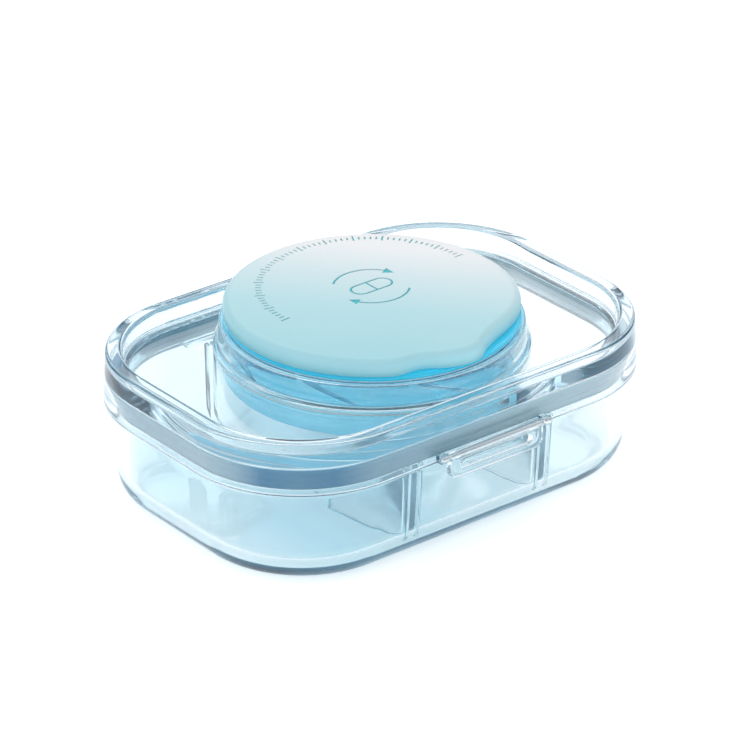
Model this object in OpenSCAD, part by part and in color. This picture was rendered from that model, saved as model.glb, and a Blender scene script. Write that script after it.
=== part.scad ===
// Pocket pill box with a screw-type tablet crusher in its hinged lid.
// Origin: centre of the flat underside. X along the box, -Y to the latch, +Z up.

/* [Box] */
// length over the lid skirt, mm
box_length = 89; // [86:1:94]
// width over the lid skirt, mm
box_width = 63; // [62:1:66]
// plan radius of the lid skirt's corners, mm
corner_radius = 22; // [20:1:24]
// radius of the tray's lower outside edge, mm
tray_edge_radius = 5; // [4:0.5:6]
// thickness of the tray floor, mm
floor_thickness = 2; // [1.6:0.2:2.6]
// distance of each divider from the middle, mm
divider_offset = 14; // [12:0.5:16]
// thickness of a divider, mm
divider_thickness = 1.3; // [1.1:0.1:1.5]

/* [Lid] */
// thickness of the lid plate, mm
plate_thickness = 1.6; // [1.4:0.1:1.8]
// wall of the lid skirt, mm
skirt_wall = 1.6; // [1.4:0.1:1.6]
// half the width of the lid's rim, mm
rim_bead = 1.5; // [1.3:0.1:1.5]

/* [Crusher] */
// bore of the crushing cup, mm radius
cup_bore = 24; // [24:0.5:24]
// number of quick-thread ribs in the collar
thread_starts = 8; // [6:1:8]
// rise of the knob in one full turn, mm
thread_lead = 54; // [50:1:58]
// number of crushing teeth on each face
tooth_count = 16; // [12:1:20]

/* [Knob] */
// radius of the knob cap, mm
cap_radius = 25.3; // [25.2:0.1:25.6]
// rounding of the cap's upper edge, mm
cap_edge = 1.2; // [0.8:0.1:1.4]
// depth of the two finger dips in the cap's edge, mm
dip_depth = 2; // [1:0.2:2.2]
// angle of the left finger dip from the latch side, degrees
dip_angle = 24; // [22:1:28]

/* [Latch and hinge] */
// width of the latch flap, mm
latch_width = 20; // [18:1:22]
// radius of the hinge pin, mm
hinge_pin_radius = 0.8; // [0.7:0.05:0.8]
// radius of the latch pin, mm
latch_pin_radius = 0.35; // [0.3:0.05:0.35]

/* [Hidden] */
$fn = 96;
fit = 0.05;

// heights, from the underside up
ledge_z = 17.3;
skirt_z = 17.7;
gasket_seat_z = 18.25;
gasket_top_z = 21.6;
neck_top_z = 21.9;
plate_under_z = 22.2;
plate_top_z = plate_under_z + plate_thickness;
rim_top_z = 26.85;
rim_edge = 0.7;

// insets from the skirt's outside outline
tray_inset_top = 0.9;
tray_inset_low = 2.1;
seat_inset = 2.1;
neck_inset = 3.1;
neck_wall = 1.3;
guide_width = 0.8;
guide_depth = 1.8;
cavity_inset_top = neck_inset + neck_wall;
cavity_inset_low = cavity_inset_top + 0.4;
cavity_fillet = 4;
gasket_inset = skirt_wall + 0.3;
rim_inset = 0.6;

corner_x = box_length / 2 - corner_radius;
corner_y = box_width / 2 - corner_radius;

// crusher, radii and heights
cup_outer = cup_bore + 1.5;
cup_floor_z = 18;
cup_floor = 1;
cup_lip_radius = 26.4;
cup_lip_z = plate_top_z + 0.3;
cup_top_z = cup_lip_z + 0.35;
plate_hole = cup_outer + 0.1;
collar_base_radius = 27;
collar_top_radius = 25.9;
collar_top_z = 28.9;
collar_bore = cup_bore + 0.9;
liner_bore = cup_bore + 0.45;
rib_bore = cup_bore + 0.05;
rib_height = 0.9;
sleeve_radius = 23.5;
lug_radius = cup_bore + 0.35;
lug_z = 24.7;
lug_height = 0.8;
lug_angle = 5;
thread_low_z = cup_top_z + 0.1;
thread_span = collar_top_z - thread_low_z - 0.05;
deg_per_mm = 360 / thread_lead;
rib_angle = rib_height * deg_per_mm;
lug_lag = (lug_z + lug_height + 0.2 - thread_low_z) * deg_per_mm + rib_angle / 2;
first_rib = 228;

grind_plate_z = cup_floor_z + cup_floor;
grind_plate_thickness = 0.6;
tooth_height = 1.3;
tooth_base = 2.4;
tooth_inner = 5;
tooth_outer = 22;
head_face_z = 22.3;
head_teeth_height = 1.15;

// knob, heights
head_top_z = 24.2;
flange_z = 29.3;
cap_under_z = 30.1;
cap_top_z = 33;
cap_recess = 22.8;
dip_radius = 14;
right_dip_angle = dip_angle + 9;
lobe_radius = 6;
lobe_out = 0.6;
lobe_angle = 2;
lobe_drop = 0.6;
sleeve_bore = 22.2;
flange_radius = 25.2;
stem_radius = 5;
stem_disc = 0.7;
stem_ribs = 6;
screw_radius = 1.4;
screw_head_radius = 2.8;
screw_head_recess = 1.1;
head_radius = 22.9;
head_lip_radius = 23.6;
wiper_bore = head_radius + 0.07;
mark_x = 2;
mark_y = 2.7;
mark_height = 0.05;
tick_count = 61;
tick_radius = 19.2;
sign_radius = 6.5;

// hinge at the back and latch at the front
hinge_y = box_width / 2 + 1.85;
hinge_z = skirt_z;
barrel_radius = 1.6;
tray_knuckles = [-18, -3.5, 11];
tray_knuckle = 7;
lid_knuckles = [-10.8, 3.7];
lid_knuckle = 7.1;
latch_y = -(box_width / 2 + 1);
latch_z = 18.75;
latch_barrel = 0.75;
latch_thickness = 1.2;
latch_low_z = 14.6;
latch_corner = 1.6;
slot_half = 7.6;
slot_low_z = 15.7;
slot_high_z = 17.7;
slot_end = (slot_high_z - slot_low_z) / 2;

// ---- shared shapes ----

// rounded rectangle, inset from the skirt's outline
module outline(inset) {
  r = corner_radius - inset;
  square([2 * (corner_x + r), 2 * corner_y], center = true);
  square([2 * corner_x, 2 * (corner_y + r)], center = true);
  for (sx = [-1, 1], sy = [-1, 1])
    translate([sx * corner_x, sy * corner_y])
      circle(r);
}

// one straight side of a swept wall; the profile's x points outwards
module side(run) {
  rotate([90, 0, 90])
    translate([0, 0, -run / 2])
      linear_extrude(run)
        children();
}

// a profile carried round the outline; its x is measured from the corner centres
module around() {
  for (q = [0 : 3])
    translate([(q == 0 || q == 3 ? 1 : -1) * corner_x, (q < 2 ? 1 : -1) * corner_y, 0])
      rotate([0, 0, 90 * q])
        rotate_extrude(angle = 90)
          children();
  for (q = [0 : 1])
    rotate([0, 0, 180 * q]) {
      translate([0, corner_y, 0])
        side(2 * corner_x)
          children();
      rotate([0, 0, -90])
        translate([0, corner_x, 0])
          side(2 * corner_y)
            children();
    }
}

module middle(z0, z1) {
  translate([-corner_x, -corner_y, z0])
    cube([2 * corner_x, 2 * corner_y, z1 - z0]);
}

module ring(r_in, r_out, z0, z1) {
  translate([0, 0, z0])
    difference() {
      cylinder(r = r_out, h = z1 - z0);
      translate([0, 0, -1])
        cylinder(r = r_in, h = z1 - z0 + 2);
    }
}

module barrel(r, x0, x1, y, z) {
  translate([x0, y, z])
    rotate([0, 90, 0])
      cylinder(r = r, h = x1 - x0);
}

// ---- tray ----

module tray_section() {
  r = corner_radius;
  e = tray_edge_radius;
  polygon([
    [0, 0], [r - tray_inset_low - e, 0], [r - tray_inset_low - e, e],
    [r - tray_inset_low, e], [r - tray_inset_top, ledge_z - 0.3],
    [r - tray_inset_top - 0.3, ledge_z], [r - seat_inset, ledge_z],
    [r - seat_inset, gasket_seat_z], [r - neck_inset, gasket_seat_z],
    [r - neck_inset, neck_top_z], [0, neck_top_z]
  ]);
  intersection() {
    translate([r - tray_inset_low - e, e])
      circle(e);
    translate([r - tray_inset_low - e, 0])
      square(e);
  }
}

module cavity_section() {
  r = corner_radius;
  f = cavity_fillet;
  x = r - cavity_inset_low;
  polygon([
    [0, floor_thickness], [x - f, floor_thickness], [x - f, floor_thickness + f],
    [x, floor_thickness + f], [r - cavity_inset_top, neck_top_z + 1], [0, neck_top_z + 1]
  ]);
  intersection() {
    translate([x - f, floor_thickness + f])
      circle(f);
    translate([x - f, floor_thickness])
      square(f);
  }
}

// pairs of ribs on the long walls that hold a divider's ends
module divider_guides() {
  y_wall = box_width / 2 - cavity_inset_low;
  for (sx = [-1, 1], sy = [-1, 1], d = [-1, 1])
    translate([sx * divider_offset + d * (divider_thickness / 2 + 0.5), sy * (y_wall - 0.3), 0])
      translate([-guide_width / 2, -guide_depth / 2, floor_thickness - 0.5])
        cube([guide_width, guide_depth, 15.7]);
}

module tray_hinge() {
  for (x0 = tray_knuckles) {
    barrel(barrel_radius, x0, x0 + tray_knuckle, hinge_y, hinge_z);
    translate([x0, box_width / 2 - 2, hinge_z - barrel_radius])
      cube([tray_knuckle, 3.1, barrel_radius - 0.4]);
  }
}

module catch() {
  translate([-6.8, -(box_width / 2 + 0.15), 16.2])
    cube([13.6, 2, 1]);
}

module base_tray() {
  color([0.82, 0.93, 0.97, 0.45])
    difference() {
      union() {
        difference() {
          union() {
            around() tray_section();
            middle(0, neck_top_z);
          }
          union() {
            around() cavity_section();
            middle(floor_thickness, neck_top_z + 1);
          }
        }
        divider_guides();
        tray_hinge();
        catch();
      }
      barrel(hinge_pin_radius + fit, -19, 19, hinge_y, hinge_z);
    }
}

module divider() {
  f = cavity_fillet;
  y_low = box_width / 2 - cavity_inset_low - fit;
  y_top = box_width / 2 - cavity_inset_low + 0.2;
  rotate([90, 0, 90])
    translate([0, 0, -divider_thickness / 2])
      linear_extrude(divider_thickness)
        difference() {
          polygon([
            [-y_low, floor_thickness + fit], [y_low, floor_thickness + fit],
            [y_low, floor_thickness + f], [y_top, 17.2], [-y_top, 17.2],
            [-y_low, floor_thickness + f]
          ]);
          for (s = [-1, 1])
            difference() {
              translate([s * (y_low - f / 2 + 1), floor_thickness + f / 2 - 1])
                square(f + 2, center = true);
              translate([s * (y_low - f), floor_thickness + f])
                circle(f);
            }
        }
}

module divider_left() {
  color([0.84, 0.94, 0.97, 0.5])
    translate([-divider_offset, 0, 0]) divider();
}

module divider_right() {
  color([0.84, 0.94, 0.97, 0.5])
    translate([divider_offset, 0, 0]) divider();
}

module neck_gasket() {
  color([0.59, 0.73, 0.81])
    around()
      translate([corner_radius - neck_inset + fit / 2, gasket_seat_z + 0.02])
        square([neck_inset - gasket_inset - fit / 2, gasket_top_z - gasket_seat_z]);
}

module hinge_pin() {
  color([0.75, 0.76, 0.78])
    barrel(hinge_pin_radius, -18, 18, hinge_y, hinge_z);
}

// ---- lid ----

module lid_section() {
  r = corner_radius;
  inner = rim_inset + 2 * rim_bead;
  polygon([
    [r, skirt_z], [r - rim_inset, rim_top_z - rim_edge], [r - inner, rim_top_z - rim_edge],
    [r - inner, plate_under_z], [r - skirt_wall, plate_under_z], [r - skirt_wall, skirt_z]
  ]);
  translate([0, plate_under_z])
    square([r - skirt_wall - 0.5, plate_thickness]);
  translate([r - inner + rim_edge, rim_top_z - 2 * rim_edge])
    square([2 * (rim_bead - rim_edge), 2 * rim_edge]);
  for (x = [r - rim_inset - rim_edge, r - inner + rim_edge])
    translate([x, rim_top_z - rim_edge])
      circle(rim_edge);
}

module lid_hinge() {
  for (x0 = lid_knuckles) {
    barrel(barrel_radius, x0, x0 + lid_knuckle, hinge_y, hinge_z);
    translate([x0, box_width / 2 - 0.5, hinge_z + 0.3])
      cube([lid_knuckle, 2.1, barrel_radius - 0.3]);
  }
}

module latch_ears() {
  for (s = [-1, 1])
    translate([s * (latch_width / 2 + 1), 0, 0]) {
      barrel(latch_barrel, -0.8, 0.8, latch_y, latch_z);
      translate([-0.8, latch_y, latch_z - latch_barrel])
        cube([1.6, 1.6, 2 * latch_barrel]);
    }
}

module lid_shell() {
  color([0.82, 0.92, 0.96, 0.45])
    difference() {
      union() {
        around() lid_section();
        middle(plate_under_z, plate_top_z);
        lid_hinge();
        latch_ears();
      }
      translate([0, 0, plate_under_z - 1])
        cylinder(r = plate_hole, h = plate_thickness + 2);
      barrel(hinge_pin_radius + fit, -19, 19, hinge_y, hinge_z);
      barrel(latch_pin_radius + fit, -14, 14, latch_y, latch_z);
    }
}

module crusher_collar() {
  color([0.83, 0.92, 0.96, 0.5])
    difference() {
      rotate_extrude()
        polygon([
          [collar_bore, plate_top_z], [collar_base_radius, plate_top_z],
          [collar_base_radius, plate_top_z + 0.9], [collar_base_radius - 0.7, plate_top_z + 1.6],
          [collar_top_radius, collar_top_z - 0.4], [collar_top_radius - 0.4, collar_top_z],
          [collar_bore, collar_top_z]
        ]);
      translate([0, 0, plate_top_z - 1])
        cylinder(r = cup_lip_radius + fit, h = cup_top_z - plate_top_z + 1 + fit);
    }
}

// a slice of a ring, angle wide and centred on a
module slice(r_in, r_out, a, wide) {
  steps = 2;
  polygon(concat(
    [for (i = [0 : steps]) let (t = a - wide / 2 + wide * i / steps) r_out * [cos(t), sin(t)]],
    [for (i = [steps : -1 : 0]) let (t = a - wide / 2 + wide * i / steps) r_in * [cos(t), sin(t)]]
  ));
}

module thread_liner() {
  color([0.83, 0.93, 0.97, 0.5]) {
    ring(liner_bore, collar_bore - fit, cup_top_z + 0.05, collar_top_z);
    for (i = [0 : thread_starts - 1])
      translate([0, 0, thread_low_z])
        rotate([0, 0, first_rib + i * 360 / thread_starts])
          linear_extrude(height = thread_span, twist = thread_span * deg_per_mm, slices = 8, $fn = 24)
            slice(rib_bore, liner_bore + 0.2, 0, rib_angle);
  }
}

module crusher_cup() {
  color([0.55, 0.82, 0.92, 0.6])
    difference() {
      rotate_extrude()
        polygon([
          [0, cup_floor_z], [cup_outer - 1, cup_floor_z], [cup_outer, cup_floor_z + 1],
          [cup_outer, cup_lip_z], [cup_lip_radius, cup_lip_z], [cup_lip_radius, cup_top_z],
          [0, cup_top_z]
        ]);
      translate([0, 0, grind_plate_z])
        cylinder(r = cup_bore, h = 10);
    }
}

module cup_seal() {
  color([0.86, 0.88, 0.9])
    ring(cup_outer + 0.15, cup_lip_radius, plate_top_z, cup_lip_z);
}

// radial crushing teeth with their roots at z = 0, points up
module teeth(h) {
  for (i = [0 : tooth_count - 1])
    rotate([0, 0, i * 360 / tooth_count])
      translate([tooth_inner, 0, 0])
        rotate([90, 0, 90])
          linear_extrude(tooth_outer - tooth_inner)
            polygon([[-tooth_base / 2, -0.1], [tooth_base / 2, -0.1], [0.2, h], [-0.2, h]]);
}

module lower_grinding_plate() {
  color([0.62, 0.84, 0.92, 0.7]) {
    translate([0, 0, grind_plate_z])
      cylinder(r = cup_bore - 0.6, h = grind_plate_thickness);
    translate([0, 0, grind_plate_z + grind_plate_thickness])
      intersection() {
        teeth(tooth_height);
        translate([0, 0, -0.2])
          cylinder(r = tooth_outer, h = 5);
      }
  }
}

// ---- latch ----

module latch_flap() {
  y_out = latch_y - 0.55;
  color([0.85, 0.94, 0.97, 0.5])
    difference() {
      union() {
        barrel(latch_barrel, -latch_width / 2, latch_width / 2, latch_y, latch_z);
        translate([0, y_out + latch_thickness, 0])
          rotate([90, 0, 0])
            linear_extrude(latch_thickness) {
              translate([-latch_width / 2, latch_low_z + latch_corner])
                square([latch_width, latch_z - latch_low_z - latch_corner]);
              translate([-latch_width / 2 + latch_corner, latch_low_z])
                square([latch_width - 2 * latch_corner, 2]);
              for (s = [-1, 1])
                translate([s * (latch_width / 2 - latch_corner), latch_low_z + latch_corner])
                  circle(latch_corner);
            }
      }
      translate([0, latch_y + 5, 0])
        rotate([90, 0, 0])
          linear_extrude(10) {
            translate([-slot_half + slot_end, slot_low_z])
              square([2 * (slot_half - slot_end), 2 * slot_end]);
            for (s = [-1, 1])
              translate([s * (slot_half - slot_end), slot_low_z + slot_end])
                circle(slot_end);
          }
      barrel(latch_pin_radius + fit, -12, 12, latch_y, latch_z);
    }
}

module latch_pin() {
  color([0.75, 0.76, 0.78])
    barrel(latch_pin_radius, -latch_width / 2 - 1.8, latch_width / 2 + 1.8, latch_y, latch_z);
}

// ---- knob ----

module wiper_ring() {
  color([0.86, 0.93, 0.96])
    ring(wiper_bore, cup_bore - 0.1, head_face_z + 0.5, head_top_z - 0.1);
}

module knob_cap() {
  color([0.68, 0.88, 0.9])
    difference() {
      union() {
        rotate_extrude() {
          square([cap_radius - cap_edge, cap_top_z]);
          square([cap_radius, cap_top_z - cap_edge]);
          translate([cap_radius - cap_edge, cap_top_z - cap_edge])
            circle(cap_edge);
        }
        rotate([0, 0, lobe_angle])
          translate([0, lobe_radius - cap_radius - lobe_out, 0])
            cylinder(r = lobe_radius, h = cap_top_z - lobe_drop);
      }
      translate([0, 0, -1])
        cylinder(r = 40, h = cap_under_z + 1);
      translate([0, 0, cap_under_z - 1])
        cylinder(r = cap_recess, h = 1.8);
      for (a = [right_dip_angle, -dip_angle])
        rotate([0, 0, a])
          translate([0, -(cap_radius + dip_radius - dip_depth), cap_under_z - 1])
            cylinder(r = dip_radius, h = 5);
    }
}

module knob_sleeve() {
  color([0.24, 0.68, 0.84, 0.7]) {
    ring(sleeve_bore, sleeve_radius, head_top_z, cap_under_z);
    ring(sleeve_bore, flange_radius, flange_z, cap_under_z);
    for (i = [0 : thread_starts - 1])
      rotate([0, 0, first_rib - lug_lag - lug_angle + i * 360 / thread_starts])
        translate([0, 0, lug_z])
          rotate_extrude(angle = lug_angle)
            translate([sleeve_radius - 0.3, 0])
              square([lug_radius - sleeve_radius + 0.3, lug_height]);
  }
}

module drive_stem() {
  color([0.8, 0.9, 0.93])
    difference() {
      union() {
        translate([0, 0, head_top_z])
          cylinder(r = stem_radius, h = cap_under_z + stem_disc - head_top_z);
        translate([0, 0, cap_under_z])
          cylinder(r = cap_recess - 0.1, h = stem_disc);
        for (i = [0 : stem_ribs - 1])
          rotate([0, 0, i * 360 / stem_ribs])
            translate([0, -0.5, cap_under_z - 2.5])
              cube([sleeve_bore - 0.4, 1, 2.6]);
      }
      translate([0, 0, head_top_z - 1])
        cylinder(r = screw_radius + fit, h = 5.5);
    }
}

module grinding_head() {
  color([0.6, 0.82, 0.9, 0.8])
    difference() {
      union() {
        translate([0, 0, head_face_z])
          cylinder(r = head_lip_radius, h = 0.45);
        translate([0, 0, head_face_z])
          cylinder(r = head_radius, h = head_top_z - head_face_z);
        translate([0, 0, head_face_z])
          mirror([0, 0, 1])
            intersection() {
              teeth(head_teeth_height);
              translate([0, 0, -0.2])
                cylinder(r = tooth_outer, h = 5);
            }
      }
      translate([0, 0, head_face_z - 1])
        cylinder(r = screw_head_radius + 0.1, h = screw_head_recess + 1);
      translate([0, 0, head_face_z - 1])
        cylinder(r = screw_radius + fit, h = 5);
    }
}

module head_screw() {
  color([0.72, 0.73, 0.75])
    difference() {
      union() {
        translate([0, 0, head_face_z - 0.6])
          cylinder(r = screw_head_radius, h = screw_head_recess + 0.6);
        translate([0, 0, head_face_z])
          cylinder(r = screw_radius, h = 6);
      }
      for (a = [0, 90])
        rotate([0, 0, a])
          translate([-1.6, -0.3, head_face_z - 1.6])
            cube([3.2, 0.6, 1.8]);
    }
}

// soft ring under the knob's flange that shuts the thread off from dust
module dust_seal() {
  color([0.86, 0.93, 0.96])
    ring(sleeve_radius + 0.1, 25, collar_top_z + 0.08, flange_z);
}

// a scale of plain ticks along an arc, and a capsule between two turn arrows
module cap_marks() {
  color([0.42, 0.74, 0.78])
    translate([mark_x, mark_y, cap_top_z]) {
      for (i = [0 : tick_count - 1])
        rotate([0, 0, 183 * i / (tick_count - 1)])
          translate([tick_radius - (i % 5 == 0 ? 0.9 : 0.5), -0.15, 0])
            cube([i % 5 == 0 ? 1.8 : 1, 0.3, mark_height]);
      linear_extrude(mark_height) {
        difference() {
          capsule(4.2, 1.9);
          capsule(3.8, 1.5);
        }
        square([0.4, 3.2], center = true);
      }
      for (a = [0, 180])
        rotate([0, 0, a]) {
          rotate([0, 0, 30])
            rotate_extrude(angle = 105)
              translate([sign_radius - 0.2, 0])
                square([0.4, mark_height]);
          rotate([0, 0, 30])
            linear_extrude(mark_height)
              polygon([[sign_radius - 1, 0.2], [sign_radius + 1, 0.2], [sign_radius - 0.2, -1.7]]);
        }
    }
}

module capsule(half, r) {
  square([2 * (half - r), 2 * r], center = true);
  for (s = [-1, 1])
    translate([s * (half - r), 0])
      circle(r);
}

base_tray();
divider_left();
divider_right();
neck_gasket();
hinge_pin();
lid_shell();
crusher_collar();
thread_liner();
crusher_cup();
cup_seal();
lower_grinding_plate();
latch_flap();
latch_pin();
wiper_ring();
knob_cap();
knob_sleeve();
drive_stem();
grinding_head();
head_screw();
dust_seal();
cap_marks();
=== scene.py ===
import math
import bpy
import bmesh
from mathutils import Vector, Matrix


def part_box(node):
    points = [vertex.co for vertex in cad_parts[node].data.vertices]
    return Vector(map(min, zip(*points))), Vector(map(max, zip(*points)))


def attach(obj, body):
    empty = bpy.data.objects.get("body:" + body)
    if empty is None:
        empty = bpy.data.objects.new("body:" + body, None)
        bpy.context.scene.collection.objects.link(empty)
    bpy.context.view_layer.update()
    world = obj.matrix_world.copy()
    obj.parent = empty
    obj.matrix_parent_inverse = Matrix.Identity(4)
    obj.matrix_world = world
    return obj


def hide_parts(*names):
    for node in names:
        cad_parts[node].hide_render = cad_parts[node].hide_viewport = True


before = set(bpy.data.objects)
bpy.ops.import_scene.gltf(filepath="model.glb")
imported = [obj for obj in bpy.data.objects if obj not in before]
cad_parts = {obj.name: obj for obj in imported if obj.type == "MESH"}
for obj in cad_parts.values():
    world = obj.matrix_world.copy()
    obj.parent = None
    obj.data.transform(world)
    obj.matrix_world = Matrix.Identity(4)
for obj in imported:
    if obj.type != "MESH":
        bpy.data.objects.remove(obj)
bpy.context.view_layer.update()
MM = 0.001


def middle(node, axis):
    """A node's middle along an axis, mm."""
    lo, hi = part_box(node)
    return round((lo[axis] + hi[axis]) / 2 / MM, 2)


# ---------------------------------------------------------------- sizes, mm
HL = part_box("lid_shell")[1].x / MM            # half length over the skirt
HW = 31.5                                     # half width over the skirt
R = 22.0                                      # plan radius of the skirt's corners
CX, CY = HL - R, HW - R                       # centre of a corner
SKIRT = 17.7                                  # the skirt's lower edge
PLATE_LOW, PLATE_TOP = 22.2, 23.8             # faces of the lid's plate
RIM_TOP = round(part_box("lid_shell")[1].z / MM, 2)
CAP_TOP = round(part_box("knob_cap")[1].z / MM, 2)
CAP_R = 25.3
HINGE_Y, HINGE_Z = middle("hinge_pin", 1), middle("hinge_pin", 2)
LATCH_Y, LATCH_Z = middle("latch_pin", 1), middle("latch_pin", 2)
DIVIDER_X = middle("divider_right", 0)
CORNER_STEPS, SIDE_STEPS = 26, 8              # points in each corner and straight side
TURN = 144                                    # points round a turned piece

# the knob's quick thread
STARTS = 8
STEP = 360 / STARTS
PER_MM = 360 / 54                             # degrees of turn for each mm of rise
FIRST_RIB = 228
THREAD_LOW = 24.55


# ---------------------------------------------------------------- mesh tools
def outline(u, z, steps=CORNER_STEPS, run=SIDE_STEPS):
    """The skirt's rounded rectangle, inset by u, as points in order."""
    r = R - u
    pts = []
    for k, (sx, sy) in enumerate(((1, 1), (-1, 1), (-1, -1), (1, -1))):
        arc = []
        for i in range(steps + 1):
            t = math.radians(90 * k + 90 * i / steps)
            arc.append(Vector((sx * CX + r * math.cos(t), sy * CY + r * math.sin(t), z)))
        if pts:
            a, b = pts[-1], arc[0]
            pts += [a.lerp(b, j / run) for j in range(1, run)]
        pts += arc
    a, b = pts[-1], pts[0]
    pts += [a.lerp(b, j / run) for j in range(1, run)]
    return pts


def round_hole(r, z):
    """Points of a circle, one at the bearing of each outline point."""
    return [Vector((p.x, p.y, 0)).normalized() * r + Vector((0, 0, z)) for p in outline(6, 0)]


def circle(r, z, n=TURN):
    return [Vector((r * math.cos(2 * math.pi * i / n), r * math.sin(2 * math.pi * i / n), z))
            for i in range(n)]


def arc(cu, cz, r, a0, a1, n=8):
    """Profile points round (cu, cz) from angle a0 to a1, degrees."""
    return [(cu + r * math.cos(math.radians(a0 + (a1 - a0) * i / n)),
             cz + r * math.sin(math.radians(a0 + (a1 - a0) * i / n))) for i in range(n + 1)]


def skin(name, rings, closed=False, caps=True):
    """A mesh through rings of points in mm. closed joins the last ring to the first."""
    bm = bmesh.new()
    rows = [[bm.verts.new(p * MM) for p in ring] for ring in rings]
    n = len(rows[0])
    pairs = list(zip(rows, rows[1:] + ([rows[0]] if closed else [])))
    for a, b in pairs[:len(rows) if closed else len(rows) - 1]:
        for i in range(n):
            j = (i + 1) % n
            bm.faces.new((a[i], a[j], b[j], b[i]))
    if caps and not closed:
        bm.faces.new(list(reversed(rows[0])))
        bm.faces.new(rows[-1])
    bmesh.ops.remove_doubles(bm, verts=bm.verts, dist=1e-8)
    bmesh.ops.recalc_face_normals(bm, faces=bm.faces)
    return to_object(name, bm)


def to_object(name, bm, smooth=32):
    mesh = bpy.data.meshes.new(name)
    bm.to_mesh(mesh)
    bm.free()
    ob = bpy.data.objects.new(name, mesh)
    bpy.context.scene.collection.objects.link(ob)
    soften(ob, smooth)
    return ob


def soften(ob, angle=32):
    """Smooth shading with sharp edges past angle."""
    bm = bmesh.new()
    bm.from_mesh(ob.data)
    for f in bm.faces:
        f.smooth = True
    limit = math.radians(angle)
    for e in bm.edges:
        e.smooth = len(e.link_faces) == 2 and e.calc_face_angle(0) < limit
    bm.to_mesh(ob.data)
    bm.free()


def revolve(name, profile, closed=True, n=TURN):
    """A turned piece about Z from (radius, z) points."""
    return skin(name, [circle(r, z, n) for r, z in profile], closed=closed)


def block(name, lo, hi, bevel=0.0, segments=2):
    bm = bmesh.new()
    bmesh.ops.create_cube(bm, size=1)
    for v in bm.verts:
        v.co = Vector([(lo[i] + (v.co[i] + 0.5) * (hi[i] - lo[i])) * MM for i in range(3)])
    if bevel:
        bmesh.ops.bevel(bm, geom=list(bm.edges), offset=bevel * MM, segments=segments,
                        profile=0.5, affect="EDGES")
    bmesh.ops.recalc_face_normals(bm, faces=bm.faces)
    return to_object(name, bm)


def rod(name, r, x0, x1, y, z, edge=0.15, n=40):
    """A cylinder along X with eased ends."""
    rings = []
    for x, rr in ((x0, r - edge), (x0 + edge * 0.3, r - edge * 0.3), (x0 + edge, r),
                  (x1 - edge, r), (x1 - edge * 0.3, r - edge * 0.3), (x1, r - edge)):
        rings.append([Vector((x, y + rr * math.cos(2 * math.pi * i / n),
                              z + rr * math.sin(2 * math.pi * i / n))) for i in range(n)])
    return skin(name, rings)


def join(name, obs):
    bm = bmesh.new()
    for o in obs:
        bm.from_mesh(o.data)
        bpy.data.objects.remove(o)
    return to_object(name, bm)


def cut(ob, tools, how="DIFFERENCE", angle=32):
    """Applies boolean operations with the tools, which are then removed."""
    for t in tools:
        m = ob.modifiers.new("cut", "BOOLEAN")
        m.operation, m.object, m.solver = how, t, "EXACT"
    dg = bpy.context.evaluated_depsgraph_get()
    new = bpy.data.meshes.new_from_object(ob.evaluated_get(dg))
    ob.modifiers.clear()
    ob.data = new
    for t in tools:
        bpy.data.objects.remove(t)
    bm = bmesh.new()
    bm.from_mesh(ob.data)
    bmesh.ops.remove_doubles(bm, verts=bm.verts, dist=1e-7)
    bmesh.ops.dissolve_degenerate(bm, dist=1e-7, edges=bm.edges)
    bm.to_mesh(ob.data)
    bm.free()
    soften(ob, angle)
    return ob


def place(ob, body, material, slot, *nodes):
    ob.data.materials.clear()
    ob.data.materials.append(material)
    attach(ob, body)
    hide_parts(*nodes)
    return ob


# ---------------------------------------------------------------- materials
def new_material(name):
    m = bpy.data.materials.new(name)
    m.use_nodes = True
    nt = m.node_tree
    p = shader(m)
    out = next(n for n in nt.nodes if n.type == "OUTPUT_MATERIAL")
    return m, nt, p, out


def shader(m):
    return next(n for n in m.node_tree.nodes if n.type == "BSDF_PRINCIPLED")


def noise(nt, scale, detail=3.0, rough=0.5, stretch=(1, 1, 1)):
    co = nt.nodes.new("ShaderNodeTexCoord")
    mp = nt.nodes.new("ShaderNodeMapping")
    mp.inputs["Scale"].default_value = stretch
    tx = nt.nodes.new("ShaderNodeTexNoise")
    tx.inputs["Scale"].default_value = scale
    tx.inputs["Detail"].default_value = detail
    tx.inputs["Roughness"].default_value = rough
    nt.links.new(co.outputs["Object"], mp.inputs["Vector"])
    nt.links.new(mp.outputs["Vector"], tx.inputs["Vector"])
    return tx


def spread(nt, source, lo, hi, a=0.3, b=0.7):
    """source mapped from a..b to lo..hi."""
    r = nt.nodes.new("ShaderNodeMapRange")
    r.inputs["From Min"].default_value, r.inputs["From Max"].default_value = a, b
    r.inputs["To Min"].default_value, r.inputs["To Max"].default_value = lo, hi
    nt.links.new(source, r.inputs["Value"])
    return r.outputs["Result"]


def ramp(nt, source, stops):
    r = nt.nodes.new("ShaderNodeValToRGB")
    e = r.color_ramp.elements
    while len(e) < len(stops):  # a ramp starts with two stops
        e.new(0.5)
    for el, (pos, col) in zip(e, stops):
        el.position, el.color = pos, (*col, 1)
    nt.links.new(source, r.inputs["Fac"])
    return r.outputs["Color"]


def bump(nt, p, source, strength, distance):
    b = nt.nodes.new("ShaderNodeBump")
    b.inputs["Strength"].default_value = strength
    b.inputs["Distance"].default_value = distance
    nt.links.new(source, b.inputs["Height"])
    nt.links.new(b.outputs["Normal"], p.inputs["Normal"])


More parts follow.
